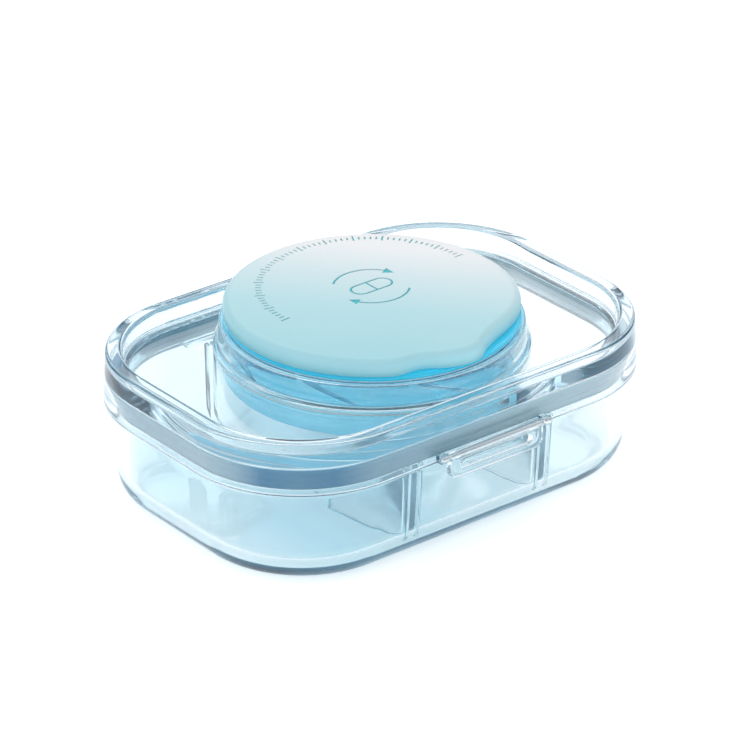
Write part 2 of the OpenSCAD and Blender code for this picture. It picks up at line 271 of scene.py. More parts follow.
def place_value(nt, x=0.0, y=0.0, z=0.0, add=0.0):
    """x, y and z of the object's own coordinates, weighted per metre and summed."""
    co = nt.nodes.new("ShaderNodeTexCoord")
    dot = nt.nodes.new("ShaderNodeVectorMath")
    dot.operation = "DOT_PRODUCT"
    dot.inputs[1].default_value = (x, y, z)
    nt.links.new(co.outputs["Object"], dot.inputs[0])
    plus = nt.nodes.new("ShaderNodeMath")
    plus.operation = "ADD"
    plus.inputs[1].default_value = add
    nt.links.new(dot.outputs["Value"], plus.inputs[0])
    return plus.outputs["Value"]


def blend(nt, fac, a, b, how="MIX"):
    """Colour a turning to b as fac rises. Each may be a value or another node's output."""
    mix = nt.nodes.new("ShaderNodeMix")
    mix.data_type, mix.blend_type = "RGBA", how
    for key, src in ((0, fac), (6, a), (7, b)):
        if hasattr(src, "links"):
            nt.links.new(src, mix.inputs[key])
        else:
            mix.inputs[key].default_value = src
    return mix.outputs[2]


def clear_plastic(name, lo, hi, depth, density, ior=1.5, rough=(0.005, 0.03), wave=0.005,
                  through=(0.90, 0.965, 0.98), clear=1.0):
    """See-through moulded plastic: a faint flow pattern in tint, gloss and surface."""
    m, nt, p, out = new_material(name)
    p.inputs["Transmission Weight"].default_value = clear
    p.inputs["IOR"].default_value = ior
    flow = noise(nt, 60, 2.0, 0.5, (1, 1, 2.5))
    if lo:
        nt.links.new(ramp(nt, flow.outputs["Fac"], [(0.3, lo), (0.7, hi)]), p.inputs["Base Color"])
    fine = noise(nt, 420, 3.0, 0.6)
    nt.links.new(spread(nt, fine.outputs["Fac"], *rough), p.inputs["Roughness"])
    bump(nt, p, flow.outputs["Fac"], wave, 0.002)
    lamp = nt.nodes.new("ShaderNodeLightPath")
    gap = nt.nodes.new("ShaderNodeBsdfTransparent")
    gap.inputs["Color"].default_value = (*through, 1)
    mix = nt.nodes.new("ShaderNodeMixShader")
    nt.links.new(lamp.outputs["Is Shadow Ray"], mix.inputs["Fac"])
    nt.links.new(p.outputs["BSDF"], mix.inputs[1])
    nt.links.new(gap.outputs["BSDF"], mix.inputs[2])
    nt.links.new(mix.outputs["Shader"], out.inputs["Surface"])
    v = nt.nodes.new("ShaderNodeVolumeAbsorption")
    v.inputs["Color"].default_value = (*depth, 1)
    v.inputs["Density"].default_value = density
    nt.links.new(v.outputs["Volume"], out.inputs["Volume"])
    return m


def solid(name, lo, hi, rough, scale=900, strength=0.12, distance=0.0001, spec=0.5, stretch=(1, 1, 1)):
    """Opaque moulded or metal surface with fine grain."""
    m, nt, p, out = new_material(name)
    if lo:
        big = noise(nt, 45, 3.0, 0.5)
        nt.links.new(ramp(nt, big.outputs["Fac"], [(0.3, lo), (0.7, hi)]), p.inputs["Base Color"])
    fine = noise(nt, scale, 4.0, 0.6, stretch)
    nt.links.new(spread(nt, fine.outputs["Fac"], *rough), p.inputs["Roughness"])
    bump(nt, p, fine.outputs["Fac"], strength, distance)
    p.inputs["Specular IOR Level"].default_value = spec
    return m


def ends_tint_and_painted_light(m, stops, drift, amount, fleck):
    """Colour that changes from the box's left end to its right, with faint flecks; the change is partly
    painted light and shade.
    """
    nt = m.node_tree
    cast = ramp(nt, spread(nt, place_value(nt, x=1000), 0, 1, -HL, HL), stops)
    spots = spread(nt, drift.outputs["Fac"], 0.0, amount)
    nt.links.new(blend(nt, spots, cast, fleck), shader(m).inputs["Base Color"])


clear = clear_plastic("clear_shell", None, None, (0.34, 0.60, 0.70), 34)
clear_lid = clear_plastic("clear_lid", None, None, (0.32, 0.60, 0.72), 20, through=(0.84, 0.92, 0.94))
divider_mat = clear_plastic("clear_divider", (0.94, 0.98, 0.99), (0.97, 0.99, 1.0), (0.34, 0.62, 0.72), 34,
                            rough=(0.03, 0.10))
collar_mat = clear_plastic("clear_collar", (0.95, 0.985, 0.995), (0.98, 0.995, 1.0), (0.25, 0.62, 0.74), 36)
thread_mat = clear_plastic("thread_clear", None, None, (0.15, 0.50, 0.66), 260, ior=1.55)
cup_mat = clear_plastic("blue_cup_tint", (0.52, 0.84, 0.93), (0.56, 0.86, 0.945), (0.05, 0.70, 0.84), 60,
                        rough=(0.05, 0.10), through=(0.78, 0.94, 0.98), clear=0.6)
tooth_mat = clear_plastic("blue_tooth_tint", (0.72, 0.90, 0.95), (0.76, 0.92, 0.96), (0.10, 0.72, 0.86), 120,
                          rough=(0.05, 0.12), through=(0.75, 0.93, 0.97), clear=0.8)
sleeve_mat = clear_plastic("blue_sleeve_tint", None, None, (0.10, 0.76, 0.86), 60,
                           rough=(0.08, 0.14), through=(0.55, 0.86, 0.94), clear=0.55)
gasket_mat = solid("gasket_soft", None, None, (0.55, 0.72), 700, 0.15)
seal_mat = solid("seal_soft", (0.74, 0.83, 0.87), (0.80, 0.88, 0.91), (0.5, 0.65), 700, 0.12)
stem_mat = solid("stem_white", (0.50, 0.76, 0.85), (0.56, 0.80, 0.88), (0.35, 0.5), 800, 0.08)
mark_mat = solid("mark_ink", (0.05, 0.50, 0.54), (0.08, 0.54, 0.58), (0.5, 0.65), 1200, 0.1)
steel_mat = solid("pin_steel", (0.62, 0.63, 0.65), (0.70, 0.71, 0.73), (0.18, 0.32), 500, 0.1,
                  stretch=(0.2, 6, 6))
shader(steel_mat).inputs["Metallic"].default_value = 1.0
cap_mat = solid("mint_cap_satin", None, None, (0.34, 0.46), 1500, 0.10, 0.00006)

# the cap: mint paling slowly to one side, a painted sheen, deeper teal down its edge
nt = cap_mat.node_tree
# painted sheen: the top's mint pales towards one side as a broad highlight would paint it
top = ramp(nt, spread(nt, place_value(nt, 15.0, 13.0, 0, 0.5), 0, 1, 0, 1),
           [(0.0, (0.35, 0.66, 0.73)), (0.4, (0.46, 0.72, 0.76)), (0.66, (0.66, 0.79, 0.82)),
            (0.88, (0.88, 0.87, 0.87))])
edge = ramp(nt, spread(nt, place_value(nt, z=1000), 0, 1, 30.1, 32.8),
            [(0.0, (0.24, 0.68, 0.78)), (0.45, (0.42, 0.80, 0.88)), (1.0, (0.46, 0.80, 0.88))])
deep = spread(nt, place_value(nt, z=1000), 0, 1, 31.8, 32.8)
flecks = spread(nt, noise(nt, 45, 3.0, 0.5).outputs["Fac"], 0.0, 0.06)
cap_p = shader(cap_mat)
nt.links.new(blend(nt, flecks, blend(nt, deep, edge, top), (0.70, 0.86, 0.90, 1)), cap_p.inputs["Base Color"])
cap_p.inputs["Subsurface Weight"].default_value = 0.15
cap_p.inputs["Subsurface Radius"].default_value = (0.001, 0.002, 0.0022)
cap_p.inputs["Subsurface Scale"].default_value = 0.5

# blue parts glow a little: a painted glow, emission standing in for light held in tinted plastic
for m, colour, painted_glow in ((cup_mat, (0.30, 0.66, 0.76), 0.14), (tooth_mat, (0.20, 0.62, 0.74), 0.12)):
    shader(m).inputs["Emission Color"].default_value = (*colour, 1)
    shader(m).inputs["Emission Strength"].default_value = painted_glow

# the knob's sleeve: saturated at the flange, paler down the tube and towards one side, the pale side being
# painted light; it also has a painted glow
nt = sleeve_mat.node_tree
high = spread(nt, place_value(nt, z=1000), 0, 1, 28.6, 29.4)
tube = ramp(nt, spread(nt, place_value(nt, x=1000, y=300), 0, 1, -24, 24),
            [(0.0, (0.66, 0.86, 0.92)), (0.35, (0.42, 0.78, 0.88)), (0.7, (0.20, 0.66, 0.80)),
             (1.0, (0.34, 0.74, 0.86))])
rim = ramp(nt, noise(nt, 60, 3.0, 0.5).outputs["Fac"], [(0.3, (0.06, 0.53, 0.70)), (0.7, (0.08, 0.56, 0.73))])
sleeve_p = shader(sleeve_mat)
nt.links.new(blend(nt, high, tube, rim), sleeve_p.inputs["Base Color"])
# painted glow: emission on the sleeve, which is no lamp, paler towards the same side
nt.links.new(blend(nt, high, blend(nt, 0.8, tube, (0.05, 0.42, 0.50, 1)), (0.02, 0.44, 0.58, 1)),
             sleeve_p.inputs["Emission Color"])
sleeve_p.inputs["Emission Strength"].default_value = 0.30

# the thread: its ribs, which stand inside the liner's bore, are a deeper blue than the liner
nt = thread_mat.node_tree
co = nt.nodes.new("ShaderNodeTexCoord")
flat = nt.nodes.new("ShaderNodeVectorMath")
flat.operation = "MULTIPLY"
flat.inputs[1].default_value = (1000, 1000, 0)
reach = nt.nodes.new("ShaderNodeVectorMath")
reach.operation = "LENGTH"
nt.links.new(co.outputs["Object"], flat.inputs[0])
nt.links.new(flat.outputs["Vector"], reach.inputs[0])
inside = spread(nt, reach.outputs["Value"], 1, 0, 24.2, 24.42)
nt.links.new(blend(nt, inside, (0.84, 0.93, 0.96, 1), (0.10, 0.40, 0.55, 1)),
             shader(thread_mat).inputs["Base Color"])

# the lid: clearer towards its right end, greyer at its left: painted shade
ends_tint_and_painted_light(clear_lid, [(0.0, (0.88, 0.92, 0.935)), (0.2, (0.80, 0.87, 0.895)), (0.45, (0.90, 0.945, 0.96)),
                      (0.7, (0.98, 0.99, 0.995))],
          noise(clear_lid.node_tree, 60, 2.0, 0.5, (1, 1, 2.5)), 0.2, (1.0, 1.0, 1.0, 1))

# the tray: blue cast strongest in its near left half, clearest in the middle; partly its tint, partly painted
# light where the crusher shades it
ends_tint_and_painted_light(clear, [(0.0, (0.92, 0.955, 0.965)), (0.07, (0.88, 0.94, 0.96)), (0.24, (0.78, 0.93, 0.965)),
                  (0.38, (0.84, 0.95, 0.975)), (0.48, (0.94, 0.985, 0.99)), (0.8, (0.95, 0.985, 0.99)),
                  (1.0, (0.95, 0.975, 0.98))],
          noise(clear.node_tree, 60, 2.0, 0.5, (1, 1, 2.5)), 0.25, (1.0, 1.0, 1.0, 1))

# the gasket: darkest where the cup's blue is nearest, paler towards both ends: a painted reflection of the
# cup's blue with painted shade
ends_tint_and_painted_light(gasket_mat, [(0.0, (0.62, 0.73, 0.80)), (0.035, (0.36, 0.55, 0.67)), (0.06, (0.0, 0.23, 0.46)),
                       (0.10, (0.03, 0.27, 0.46)), (0.16, (0.0, 0.25, 0.48)), (0.24, (0.30, 0.54, 0.68)),
                       (0.6, (0.46, 0.68, 0.78)), (0.85, (0.58, 0.74, 0.82)), (1.0, (0.78, 0.86, 0.90))],
          noise(gasket_mat.node_tree, 45, 3.0, 0.5), 0.05, (0.6, 0.75, 0.82, 1))

# ---------------------------------------------------------------- tray
prof = [(7.6, 0.0)] + arc(7.1, 5.0, 5.0, 270, 180, 14)
for i in range(1, 6):
    prof.append((2.1 - 1.2 * i / 6, 5 + 12.0 * i / 6))
prof += [(0.9, 16.75), (0.92, 16.98), (1.0, 17.15), (1.15, 17.26), (1.35, 17.3), (1.9, 17.3)]
prof += arc(1.9, 17.5, 0.2, 270, 360, 3)[1:]
prof += [(2.1, 18.0)] + arc(2.3, 18.05, 0.2, 180, 90, 3)
prof += [(2.9, 18.25), (3.05, 18.3), (3.1, 18.4), (3.1, 21.5)]
prof += arc(3.5, 21.5, 0.4, 180, 90, 5) + arc(4.0, 21.5, 0.4, 90, 0, 5)
prof += [(4.45, 20.0), (4.6, 14.0), (4.75, 8.0)]
prof += arc(8.8, 6.0, 4.0, 180, 270, 12) + [(9.4, 2.0)]
tray = skin("tray_body", [outline(u, z) for u, z in prof])
adds = []
for sx in (-1, 1):
    for sy in (-1, 1):
        for d in (-1, 1):
            x = sx * DIVIDER_X + d * 1.15
            y0, y1 = sorted((sy * 25.5, sy * 27.4))
            adds.append(block("guide", (x - 0.4, y0, 1.5), (x + 0.4, y1, 17.2), 0.18))
for x0 in (-18, -3.5, 11):
    adds.append(rod("knuckle", 1.6, x0, x0 + 7, HINGE_Y, HINGE_Z, 0.2))
    adds.append(block("web", (x0 + 0.05, HW - 2, HINGE_Z - 1.55), (x0 + 6.95, HW + 1.1, HINGE_Z - 0.42),
                      0.15))
adds.append(block("catch", (-6.8, -(HW + 0.15), 16.2), (6.8, -(HW - 1.85), 17.2), 0.25))
cut(tray, adds, "UNION")
cut(tray, [rod("bore", 0.85, -19, 19, HINGE_Y, HINGE_Z, 0.01)])
place(tray, "tray", clear, "clear_plastic", "base_tray")

# dividers: plates whose lower corners follow the tray's inside rounding
for side in (-1, 1):
    y_low, y_top, f = 26.65, 26.9, 4.0
    pts = [(y_top, 17.2), (-y_top, 17.2)]
    pts += [(-y_low + f - f * math.cos(math.radians(a)), 6 - f * math.sin(math.radians(a)) + 0.05)
            for a in range(0, 91, 9)]
    pts += [(y_low - f + f * math.sin(math.radians(a)), 6 - f * math.cos(math.radians(a)) + 0.05)
            for a in range(0, 91, 9)]
    bm = bmesh.new()
    rows = [[bm.verts.new(Vector((side * DIVIDER_X + x, y, z)) * MM) for y, z in pts] for x in (-0.65, 0.65)]
    for i in range(len(pts)):
        j = (i + 1) % len(pts)
        bm.faces.new((rows[0][i], rows[0][j], rows[1][j], rows[1][i]))
    bm.faces.new(rows[0])
    bm.faces.new(list(reversed(rows[1])))
    bmesh.ops.recalc_face_normals(bm, faces=bm.faces)
    rims = [e for e in bm.edges if abs(e.verts[0].co.x - e.verts[1].co.x) < 1e-6]
    bmesh.ops.bevel(bm, geom=rims, offset=0.3 * MM, segments=3, profile=0.5, affect="EDGES")
    name = "divider_left" if side < 0 else "divider_right"
    ob = to_object(name + "_plate", bm)
    place(ob, "tray", divider_mat, "clear_dividers", name)

# gasket: soft band round the neck with two low sealing beads
g = [(3.08, 18.4), (3.0, 18.3), (2.2, 18.28)]
for z0 in (18.9, 20.3):
    g += [(2.0, z0 - 0.45), (1.95, z0 - 0.3), (1.9, z0), (1.9, z0 + 0.5), (1.95, z0 + 0.8),
          (2.0, z0 + 0.95)]
g += [(2.2, 21.5), (2.4, 21.6), (3.0, 21.58), (3.08, 21.48), (3.08, 20.5), (3.08, 19.4)]
gasket = skin("gasket_band", [outline(u, z) for u, z in g], closed=True)
place(gasket, "tray", gasket_mat, "gasket_silicone", "neck_gasket")

pin = rod("hinge_rod", 0.8, -18, 18, HINGE_Y, HINGE_Z, 0.2)
place(pin, "tray", steel_mat, "steel_pin", "hinge_pin")

# ---------------------------------------------------------------- lid
edge = arc(0.27, SKIRT + 0.25, 0.25, 270, 180, 4)
for i in range(1, 7):
    edge.append((0.02 + 0.58 * i / 7, SKIRT + 0.25 + (RIM_TOP - 0.7 - SKIRT - 0.25) * i / 7))
edge += arc(1.3, RIM_TOP - 0.7, 0.7, 180, 90, 7) + [(2.0, RIM_TOP + 0.03)]
edge += arc(2.7, RIM_TOP - 0.9, 0.9, 90, 0, 8) + [(3.6, 24.9)]
edge += arc(4.1, 24.3, 0.5, 180, 270, 5) + [(4.9, PLATE_TOP)]
hole = [(26.0, PLATE_TOP), (25.75, PLATE_TOP), (25.63, PLATE_TOP - 0.05), (25.6, PLATE_TOP - 0.18),
        (25.6, PLATE_LOW + 0.18), (25.63, PLATE_LOW + 0.05), (25.75, PLATE_LOW), (26.0, PLATE_LOW)]
under = [(2.6, PLATE_LOW)] + arc(2.0, PLATE_LOW - 0.4, 0.4, 90, 180, 4) + [(1.6, 20.5), (1.6, 19.0)]
under += arc(1.35, SKIRT + 0.25, 0.25, 0, -90, 4)
rings = [outline(u, z) for u, z in edge] + [round_hole(r, z) for r, z in hole]
rings += [outline(u, z) for u, z in under]
lid = skin("lid_body", rings, closed=True)
adds = []
for x0 in (-10.8, 3.7):
    adds.append(rod("knuckle", 1.6, x0, x0 + 7.1, HINGE_Y, HINGE_Z, 0.2))
    adds.append(block("web", (x0 + 0.05, HW - 0.6, HINGE_Z + 0.3),
                      (x0 + 7.05, HINGE_Y + 0.25, HINGE_Z + 1.55), 0.15))
for s in (-1, 1):
    adds.append(rod("ear", 0.75, s * 11 - 0.8, s * 11 + 0.8, LATCH_Y, LATCH_Z, 0.12))
    adds.append(block("ear_root", (s * 11 - 0.78, LATCH_Y, LATCH_Z - 0.74),
                      (s * 11 + 0.78, LATCH_Y + 1.6, LATCH_Z + 0.74), 0.12))
cut(lid, adds, "UNION")
cut(lid, [rod("bore", 0.85, -19, 19, HINGE_Y, HINGE_Z, 0.01),
          rod("bore", 0.4, -14, 14, LATCH_Y, LATCH_Z, 0.01)])
place(lid, "lid", clear_lid, "clear_plastic", "lid_shell")

collar = revolve("collar_ring",
                 [(26.47, PLATE_TOP + 0.02), (26.75, PLATE_TOP)] + arc(26.72, 24.1, 0.28, 270, 360, 4)[1:]
                 + arc(26.72, 24.75, 0.28, 0, 70, 4)
                 + [(26.45, 25.15), (26.3, 25.4), (26.22, 25.8), (26.1, 27.0), (25.98, 28.3)]
                 + arc(25.6, 28.5, 0.4, 15, 90, 5) + arc(25.2, 28.6, 0.3, 90, 180, 4)
                 + [(24.9, 27.5), (24.9, 26.0), (24.9, 24.8), (24.95, 24.55), (25.2, 24.5), (26.2, 24.5),
                    (26.45, 24.45), (26.47, 24.2)])
place(collar, "lid", collar_mat, "clear_plastic", "crusher_collar")

# thread liner: thin ring with quick-thread ribs inside
liner = revolve("thread_ring", [(24.45, 24.55), (24.8, 24.55), (24.85, 24.65), (24.85, 28.75), (24.75, 28.88),
                                (24.55, 28.88), (24.45, 28.75), (24.45, 27.0), (24.45, 25.6)])
ribs = []
for k in range(STARTS):
    rows = []
    for i in range(25):
        t = i / 24
        z = 24.72 + 3.98 * t
        a = math.radians(FIRST_RIB + STEP * k - (z - THREAD_LOW) * PER_MM)
        fade = min(1, 6 * t, 6 * (1 - t)) ** 0.5 if 0 < t < 1 else 0.15
        half, tip = 0.4 * (0.35 + 0.65 * fade), 24.6 - 0.52 * max(fade, 0.35)
        section = ((24.6, -half), (tip + 0.15, -half * 0.8), (tip, -half * 0.35), (tip, half * 0.35),
                   (tip + 0.15, half * 0.8), (24.6, half))
        rows.append([Vector((r_ * math.cos(a), r_ * math.sin(a), z + dz)) for r_, dz in section])
    ribs.append(skin("rib", rows))
cut(liner, [join("ribs", ribs)], "UNION", 40)
place(liner, "lid", thread_mat, "clear_plastic", "thread_liner")

cup = revolve("cup_bowl",
              [(12.0, 18.0), (24.0, 18.0)] + arc(24.5, 19.0, 1.0, 270, 360, 7)
              + [(25.5, 21.0), (25.5, 23.9), (25.55, 24.06), (25.7, 24.1), (26.25, 24.1), (26.38, 24.16),
                 (26.38, 24.36), (26.25, 24.44), (24.3, 24.44), (24.08, 24.38), (24.0, 24.2), (24.0, 21.5),
                 (24.0, 19.7)]
              + arc(23.4, 19.6, 0.6, 0, -90, 5) + [(22.6, 19.0), (12.0, 19.0)], closed=False)
place(cup, "lid", cup_mat, "blue_cup", "crusher_cup")

ob = revolve("cup_seal_ring", arc(25.75, 23.93, 0.1, 180, 270, 3) + arc(26.3, 23.93, 0.1, 270, 360, 3)
             + arc(26.3, 23.99, 0.1, 0, 90, 3) + arc(25.75, 23.99, 0.1, 90, 180, 3))
place(ob, "lid", seal_mat, "seal_silicone", "cup_seal")


def tooth_ring(name, z, up, height, r0=6.6, r1=22.0, base=2.4):
    """Sixteen radial ridges with eased crests."""
    teeth = []
    for k in range(16):
        a = math.radians(22.5 * k)
        along, across = Vector((math.cos(a), math.sin(a), 0)), Vector((-math.sin(a), math.cos(a), 0))
        rows = []
        for r_, f in ((r0, 0.35), (r0 + 0.5, 0.8), (r0 + 1.2, 1.0),
                      (r1 - 1.2, 1.0), (r1 - 0.5, 0.8), (r1, 0.35)):
            h = height * f
            row = [(-base / 2, -0.15), (-base * 0.3, h * 0.42), (-0.28, h * 0.9), (0, h), (0.28, h * 0.9),
                   (base * 0.3, h * 0.42), (base / 2, -0.15)]
            rows.append([along * r_ + across * c + Vector((0, 0, z + up * d)) for c, d in row])
        teeth.append(skin("tooth", rows))
    return join(name, teeth)


plate = revolve("crush_plate", [(10.0, 19.02), (22.6, 19.02), (23.2, 19.05), (23.35, 19.15), (23.4, 19.3),
                                (23.35, 19.5), (23.2, 19.58), (22.6, 19.6), (10.0, 19.6)], closed=False)
cut(plate, [tooth_ring("teeth", 19.6, 1, 1.3)], "UNION", 40)
place(plate, "lid", tooth_mat, "blue_teeth", "lower_grinding_plate")

pin = rod("latch_rod", 0.35, -11.8, 11.8, LATCH_Y, LATCH_Z, 0.1, 24)
place(pin, "lid", steel_mat, "steel_pin", "latch_pin")


# ---------------------------------------------------------------- latch
def flap_loop(half, low, high, r, y, n=10):
    """The flap's outline: lower corners of radius r, upper corners nearly square."""
    pts = []
    for cx, cz, a0 in ((half - r, high - 0.3, 0), (-half + r, high - 0.3, 90), (-half + r, low + r, 180),
                       (half - r, low + r, 270)):
        rr = 0.3 if a0 < 180 else r
        ox = cx if a0 >= 180 else math.copysign(half - 0.3, cx)
        for i in range(n + 1):
            t = math.radians(a0 + 90 * i / n)
            pts.append(Vector((ox + rr * math.cos(t), y, cz + rr * math.sin(t))))
    return pts


def slot_loop(half, low, high, y, n=10):
    """A slot with round ends, its points in the order of flap_loop's."""
    r = (high - low) / 2
    pts = []
    for sx, a0 in ((1, 0), (-1, 90), (-1, 180), (1, 270)):
        for i in range(n + 1):
            t = math.radians(a0 + 90 * i / n)
            pts.append(Vector((sx * (half - r) + r * math.cos(t), y, (low + high) / 2 + r * math.sin(t))))
    return pts


Y0, Y1 = LATCH_Y - 0.55, LATCH_Y + 0.65
rings = [flap_loop(9.75, 14.85, 18.5, 1.35, Y0), flap_loop(9.93, 14.67, 18.68, 1.53, Y0 + 0.07),
         flap_loop(10, 14.6, 18.75, 1.6, Y0 + 0.25), flap_loop(10, 14.6, 18.75, 1.6, Y1 - 0.25),
         flap_loop(9.93, 14.67, 18.68, 1.53, Y1 - 0.07), flap_loop(9.75, 14.85, 18.5, 1.35, Y1),
         slot_loop(7.8, 15.5, 17.9, Y1), slot_loop(7.65, 15.65, 17.75, Y1 - 0.06),
         slot_loop(7.6, 15.7, 17.7, Y1 - 0.2), slot_loop(7.6, 15.7, 17.7, Y0 + 0.2),
         slot_loop(7.65, 15.65, 17.75, Y0 + 0.06), slot_loop(7.8, 15.5, 17.9, Y0)]
flap = skin("latch_plate", rings, closed=True)
cut(flap, [rod("roll", 0.75, -9.98, 9.98, LATCH_Y, LATCH_Z, 0.12)], "UNION")
cut(flap, [rod("bore", 0.4, -14, 14, LATCH_Y, LATCH_Z, 0.01)])
place(flap, "latch", clear_lid, "clear_plastic", "latch_flap")

# ---------------------------------------------------------------- wiper
ob = revolve("wiper_lip", [(22.98, 22.9), (23.1, 22.81), (23.6, 22.81), (23.8, 22.95), (23.88, 23.1),
                           (23.6, 23.3), (23.6, 23.6), (23.88, 23.8), (23.8, 24.0), (23.6, 24.09),
                           (23.1, 24.09), (22.98, 24.0)])
place(ob, "wiper", seal_mat, "seal_silicone", "wiper_ring")


# ---------------------------------------------------------------- knob
def hat(t):
    """A smooth bump, 1 at t = 0 and 0 from t = 1 outwards."""
    return math.cos(math.pi * t / 2) ** 2 if abs(t) < 1 else 0.0


def cap_ring(inset, z, n=360):
    """The cap's outline with its two finger dips either side of a low lobe."""
    pts = []
    for i in range(n):
        a = 360 * i / n
        off = (a - 270 + 180) % 360 - 180
        right = 1.6 * math.sin(math.pi * ((off - 7) / 56) ** 0.55) ** 2 if 7 < off < 63 else 0.0
        r = CAP_R - right - 1.3 * hat((off + 19) / 13) + 0.65 * hat((off - 1) / 10) - inset
        pts.append(Vector((r * math.cos(math.radians(a)), r * math.sin(math.radians(a)), z)))
    return pts


recess = [(12, 30.9), (22.4, 30.9), (22.75, 30.85), (22.8, 30.7), (22.8, 30.25), (22.9, 30.12)]
lip = [(0.45, 30.1), (0.2, 30.12), (0.05, 30.22), (0.0, 30.4), (0.0, 30.9)]
ROUND = 1.45                                  # the cap's upper edge
rings = [circle(r, z, 360) for r, z in recess] + [cap_ring(u, z) for u, z in lip]
for t in range(6, 91, 7):
    c, s = math.cos(math.radians(t)), math.sin(math.radians(t))
    rings.append(cap_ring(ROUND - ROUND * c, CAP_TOP - ROUND + ROUND * s))
rings += [cap_ring(2.4, CAP_TOP), circle(21.2, CAP_TOP, 360)]
cap = skin("cap_disc", rings)
MARK, DEEP = Vector((2.0, 2.7, 0)), 0.3       # the markings' middle and depth


def prism(name, pts, z0, z1):
    """A straight-sided solid from points about the markings' middle."""
    bm = bmesh.new()
    lo = [bm.verts.new((Vector((x, y, z0)) + MARK) * MM) for x, y in pts]
    hi = [bm.verts.new((Vector((x, y, z1)) + MARK) * MM) for x, y in pts]
    for i in range(len(pts)):
        j = (i + 1) % len(pts)
        bm.faces.new((lo[i], lo[j], hi[j], hi[i]))
    bm.faces.new(list(reversed(lo)))
    bm.faces.new(hi)
    bmesh.ops.recalc_face_normals(bm, faces=bm.faces)
    return to_object(name, bm)


def band(r, half, a0, a1, n=28):
    """An arc of radius r and half width half, from a0 to a1 degrees."""
    ts = [math.radians(a0 + (a1 - a0) * i / n) for i in range(n + 1)]
    return ([((r + half) * math.cos(t), (r + half) * math.sin(t)) for t in ts]
            + [((r - half) * math.cos(t), (r - half) * math.sin(t)) for t in reversed(ts)])


def stadium(half, r, n=12):
    """A capsule's outline, half long and r wide from its middle."""
    pts = []
    for sx, a0 in ((1, -90), (-1, 90)):
        for i in range(n + 1):
            t = math.radians(a0 + 180 * i / n)
            pts.append((sx * (half - r) + r * math.cos(t), r * math.sin(t)))
    return pts


def marks(grow, z0, z1):
    """Scale ticks, a capsule and two turn arrows, as two sets of prisms that may overlap."""
    obs, over = [], []
    for i in range(61):
        a, long = math.radians(183 * i / 60), i % 5 == 0
        d, w = (0.9 if long else 0.5) + grow, 0.15 + grow
        along, across = (math.cos(a), math.sin(a)), (-math.sin(a), math.cos(a))
        quad = []
        for s, t in ((-1, -1), (1, -1), (1, 1), (-1, 1)):
            r_ = 19.2 + s * d
            quad.append((r_ * along[0] + t * w * across[0], r_ * along[1] + t * w * across[1]))
        obs.append(prism("tick", quad, z0, z1))
    for half in (0, 180):
        obs.append(prism("turn", band(6.5, 0.2 + grow, 32 + half, 135 + half), z0, z1))
        c, s = math.cos(math.radians(30 + half)), math.sin(math.radians(30 + half))
        tip = [(5.5 - grow, 0.25 + grow), (7.5 + grow, 0.25 + grow), (6.3, -1.7 - grow)]
        over.append(prism("arrow", [(x * c - y * s, x * s + y * c) for x, y in reversed(tip)], z0, z1))
    out, inn = stadium(4.2 + grow, 1.9 + grow), stadium(3.8 - grow, 1.5 - grow)
    bm = bmesh.new()
    rows = [[bm.verts.new((Vector((x, y, z)) + MARK) * MM) for x, y in pts]
            for pts, z in ((out, z0), (out, z1), (inn, z1), (inn, z0))]
    for a, b in zip(rows, rows[1:] + rows[:1]):
        for i in range(len(a)):
            j = (i + 1) % len(a)
            bm.faces.new((a[i], a[j], b[j], b[i]))
    bmesh.ops.recalc_face_normals(bm, faces=bm.faces)
    obs.append(to_object("capsule", bm))
    w = 0.2 + grow
    over.append(prism("split", [(-w, -1.6), (w, -1.6), (w, 1.6), (-w, 1.6)], z0, z1))
    return [join("engraving", obs), join("engraving_over", over)]


cut(cap, marks(0.0, CAP_TOP - DEEP, CAP_TOP + 0.5), "DIFFERENCE", 40)
place(cap, "knob", cap_mat, "mint_cap", "knob_cap")
ink, over = marks(-0.02, CAP_TOP - DEEP + 0.01, CAP_TOP - 0.17)
cut(ink, [over], "UNION")
ink.name = "cap_inlay"
place(ink, "knob", mark_mat, "mark_print", "cap_marks")

sleeve = revolve("sleeve_tube",
                 [(22.2, 24.3), (22.3, 24.22), (23.35, 24.22), (23.5, 24.4), (23.5, 26.5), (23.5, 29.0),
                  (23.6, 29.25), (23.85, 29.3), (24.9, 29.3), (25.12, 29.36), (25.2, 29.55),
                  (25.2, 29.85), (25.12, 30.03), (24.9, 30.09), (22.4, 30.09), (22.2, 30.0),
                  (22.2, 28.0), (22.2, 26.0)])
lugs = []
LAG = (24.7 + 0.8 + 0.2 - THREAD_LOW) * PER_MM + 3.0  # a lug sits this far behind its rib, degrees
for k in range(STARTS):
    a0 = FIRST_RIB - LAG - 5 + STEP * k
    rows = []
    for i in range(5):
        a = math.radians(a0 + 5 * i / 4)
        tip = 24.35 - (0.12 if i in (0, 4) else 0)
        section = ((23.3, 24.72), (tip - 0.1, 24.72), (tip, 24.85), (tip, 25.35), (tip - 0.1, 25.48),
                   (23.3, 25.48))
        rows.append([Vector((r_ * math.cos(a), r_ * math.sin(a), z)) for r_, z in section])
    lugs.append(skin("lug", rows))
cut(sleeve, [join("lugs", lugs)], "UNION")
place(sleeve, "knob", sleeve_mat, "blue_sleeve", "knob_sleeve")

stem = revolve("stem_core", [(1.45, 24.21), (4.7, 24.21), (4.95, 24.3), (5.0, 24.5), (5.0, 29.4),
                             (5.3, 29.9), (5.9, 30.1), (22.3, 30.1), (22.6, 30.15), (22.68, 30.3),
                             (22.68, 30.6), (22.6, 30.75), (22.3, 30.79), (6.0, 30.79), (1.45, 30.79)],
               n=96)
vanes = []
for k in range(6):
    v = block("vane", (4.6, -0.5, 27.65), (21.7, 0.5, 30.15), 0.15)
    v.data.transform(Matrix.Rotation(math.radians(60 * k), 4, "Z"))
    vanes.append(v)
cut(stem, vanes, "UNION")
place(stem, "knob", stem_mat, "white_stem", "drive_stem")

